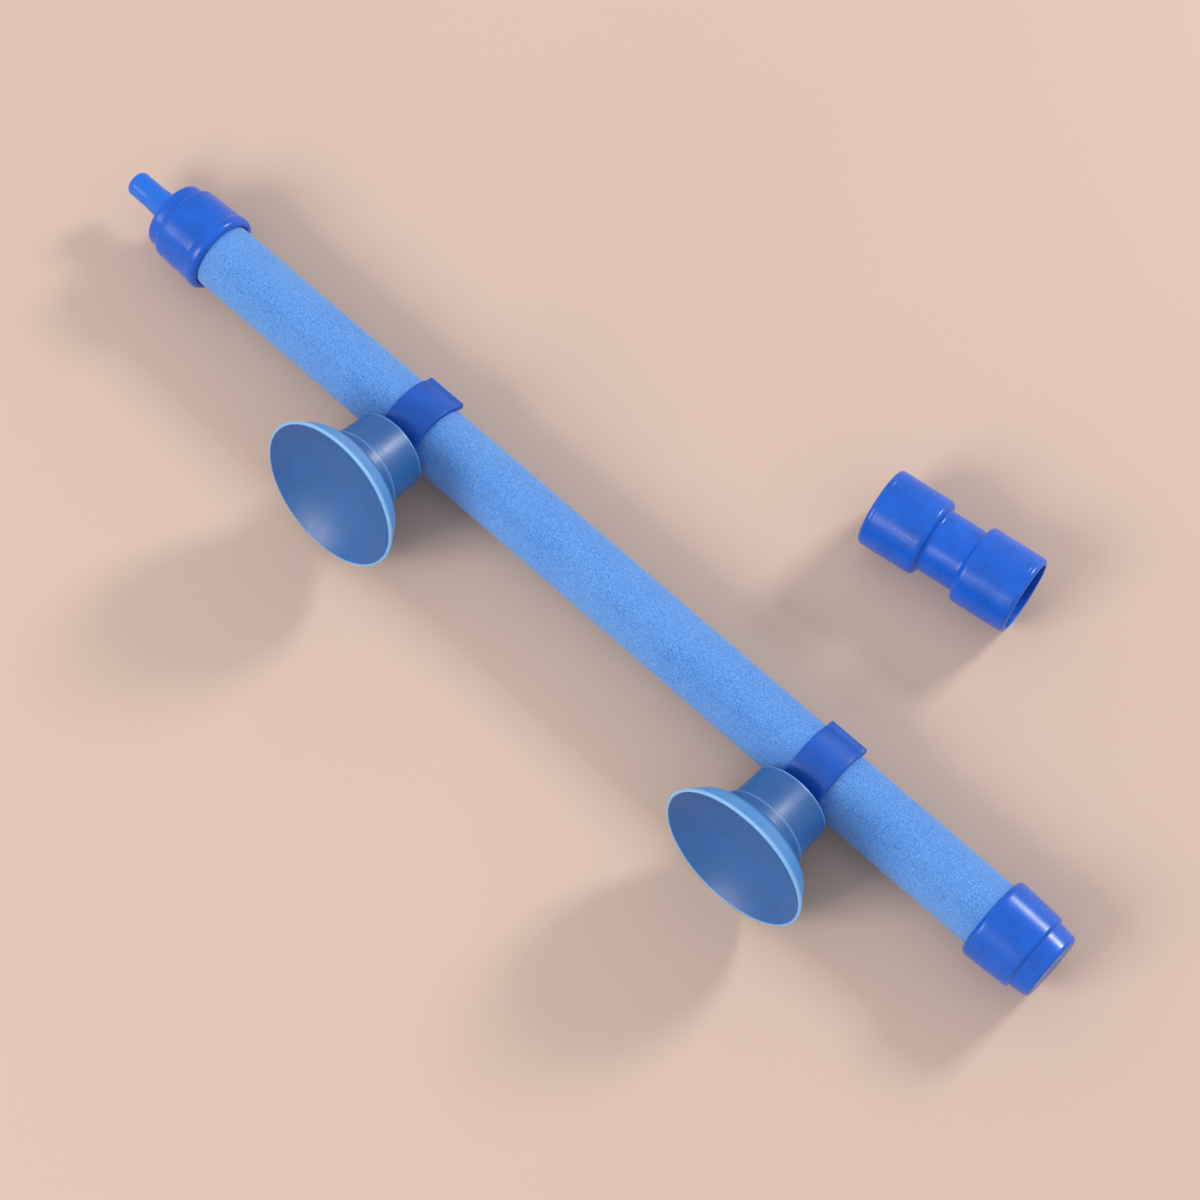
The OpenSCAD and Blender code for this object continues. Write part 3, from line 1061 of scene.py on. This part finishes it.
class AIRSTONE_OT_clips(bpy.types.Operator):
    """Two open clips, each with a ball stud"""

    bl_idname = "airstone.clips"
    bl_label = "Clips"

    def execute(self, context):
        a = settings()
        finish = plastic_finish(
            a.plastic, "royal_plastic_clip", a.plastic.dull, shade(a.plastic.body, 0.8)
        )
        for side in SIDES_OF_BAR:
            joint = JOINTS[f"cup_{side}_spin"]
            ball, along = Vector(joint["pos_m"]), Vector(joint["axis"]).normalized()
            away = math.hypot(ball.y - BAR.y, ball.z - BAR.z) / MM
            clip = make_clip(
                a.clips, a.stone.radius / MM, ball.x, along, away, f"tube_clip_{side}"
            )
            place(clip, f"clip_{side}", f"clip_{side}", finish)
        return {"FINISHED"}


class AIRSTONE_OT_cups(bpy.types.Operator):
    """Two soft suction cups"""

    bl_idname = "airstone.cups"
    bl_label = "Suction cups"

    def execute(self, context):
        a = settings()
        side = cup_side(a.cups, a.clips.ball / MM, a.clips.stem / MM)
        waves = {
            "inlet": (1.0, ((1, 0.5, 2.2), (3, 0.3, 0.4), (5, 0.2, 1.0))),
            "tail": (0.4, ((2, 0.6, 1.0), (3, 0.4, 2.0))),
        }
        for where in SIDES_OF_BAR:
            joint = JOINTS[f"cup_{where}_spin"]
            ball, along = Vector(joint["pos_m"]), Vector(joint["axis"]).normalized()
            cup = lathe(
                f"suction_cup_{where}",
                side,
                ball - along * BALL_PLACE * MM,
                along,
                False,
                a.segments,
                shape=soft_lip(a.cups, *waves[where]),
                step=0.4,
                soften=0.1,
            )
            finish = vinyl_finish(a.cups, f"soft_vinyl_{where}", ball, along)
            place(cup, f"cup_{where}", f"cup_{where}", finish)
        return {"FINISHED"}


class AIRSTONE_OT_connector(bpy.types.Operator):
    """Loose straight connector with two sockets"""

    bl_idname = "airstone.connector"
    bl_label = "Connector"

    def execute(self, context):
        a = settings()
        piece = lathe(
            "bar_connector",
            connector_side(a.connector),
            middle("connector"),
            CONN_AXIS,
            True,
            a.segments,
            shape=moulded(a.caps.seam / MM, a.connector.bore / MM + 0.3, (0.6, 0.6 + math.pi)),
        )
        finish = royal_plastic(a.plastic)
        place(piece, "connector", "connector", finish)
        return {"FINISHED"}


class AIRSTONE_PT_panel(bpy.types.Panel):
    """Lists the air stone's pieces and its stage"""

    bl_idname = "AIRSTONE_PT_panel"
    bl_label = "Air stone bar"
    bl_space_type = "VIEW_3D"
    bl_region_type = "UI"
    bl_category = "Air stone"

    def draw(self, context):
        every = context.scene.air_stone
        self.layout.prop(every, "segments")
        self.list_group(every.plastic, self.layout.box())
        for operator, group in STEPS:
            box = self.layout.box()
            box.operator(operator.bl_idname)
            self.list_group(getattr(every, group), box)

    def list_group(self, group, box):
        for name in group.bl_rna.properties.keys():
            if name not in ("rna_type", "name"):
                box.prop(group, name)


STEPS = (
    (AIRSTONE_OT_stage, "stage"),
    (AIRSTONE_OT_stone, "stone"),
    (AIRSTONE_OT_caps, "caps"),
    (AIRSTONE_OT_clips, "clips"),
    (AIRSTONE_OT_cups, "cups"),
    (AIRSTONE_OT_connector, "connector"),
)
CLASSES = (
    StoneSettings,
    PlasticSettings,
    CapSettings,
    ClipSettings,
    CupSettings,
    ConnectorSettings,
    StageSettings,
    AirStoneSettings,
    *(operator for operator, _ in STEPS),
    AIRSTONE_PT_panel,
)


def register():
    for cls in CLASSES:
        bpy.utils.register_class(cls)
    bpy.types.Scene.air_stone = PointerProperty(type=AirStoneSettings)


def unregister():
    del bpy.types.Scene.air_stone
    for cls in reversed(CLASSES):
        bpy.utils.unregister_class(cls)


def main():
    register()
    for operator, _ in STEPS:
        space, name = operator.bl_idname.split(".")
        getattr(getattr(bpy.ops, space), name)()


if __name__ == "__main__":
    main()
